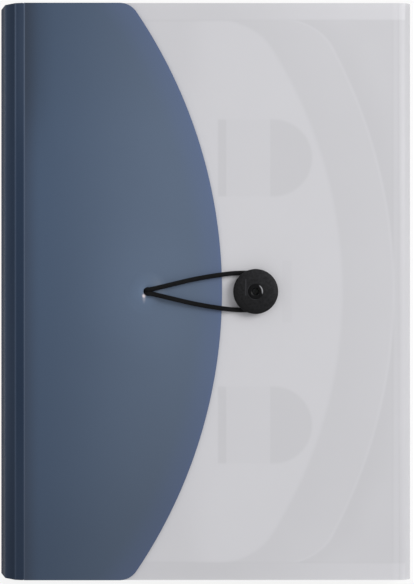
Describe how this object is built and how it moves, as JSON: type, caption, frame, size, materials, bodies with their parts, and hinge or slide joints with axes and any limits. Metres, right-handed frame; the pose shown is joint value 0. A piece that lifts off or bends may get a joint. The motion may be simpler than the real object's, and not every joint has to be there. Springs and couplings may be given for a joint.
{
  "type": "expanding file",
  "caption": "Frosted plastic expanding file for A4 papers with pleated pockets, a hinged blue flap, an elastic loop and a riveted round button.",
  "frame": {"origin": "centre of the file's footprint on the surface it lies on, at the underside of the back panel", "axes": "+X from the mouth towards the bottom fold, +Y along the mouth, +Z out of the front panel; the file lies flat on its back"},
  "size_m": [0.24, 0.334, 0.0356],
  "materials": {
    "frosted_cover": "frosted translucent polypropylene sheet",
    "clear_film": "thin frosted film",
    "blue_sheet": "opaque satin slate blue polypropylene sheet",
    "black_plastic": "moulded matt black plastic",
    "black_rivet": "black lacquered hollow rivet",
    "black_elastic": "round braided elastic cord"
  },
  "bodies": {
    "root": {"cover_shell": "frosted_cover", "flap_hem": "blue_sheet", "divider_1": "clear_film", "divider_2": "clear_film", "divider_3": "clear_film", "divider_4": "clear_film", "gusset_upper": "clear_film", "gusset_lower": "clear_film", "gusset_bottom": "clear_film", "liner_wide": "clear_film", "liner_narrow": "clear_film", "tongue_upper": "clear_film", "tongue_lower": "clear_film", "button_cap": "black_plastic", "button_collar": "black_plastic", "button_washer": "black_rivet", "button_rivet": "black_rivet"},
    "spine": {"spine_strip": "blue_sheet"},
    "flap": {"closing_flap": "blue_sheet", "loop_anchor": "black_plastic", "elastic_loop": "black_elastic"}
  },
  "joints": [
    {"name": "spine_hinge", "type": "hinge", "parent": "root", "child": "spine", "pos_m": [-0.1196, 0, 0.0004], "axis": [0, -1, 0], "range_deg": [0, 90], "deforming": ["elastic_loop"]},
    {"name": "flap_hinge", "type": "hinge", "parent": "spine", "child": "flap", "pos_m": [-0.1041, 0, 0.0296], "axis": [0, -1, 0], "range_deg": [0, 90], "deforming": ["elastic_loop"]}
  ]
}
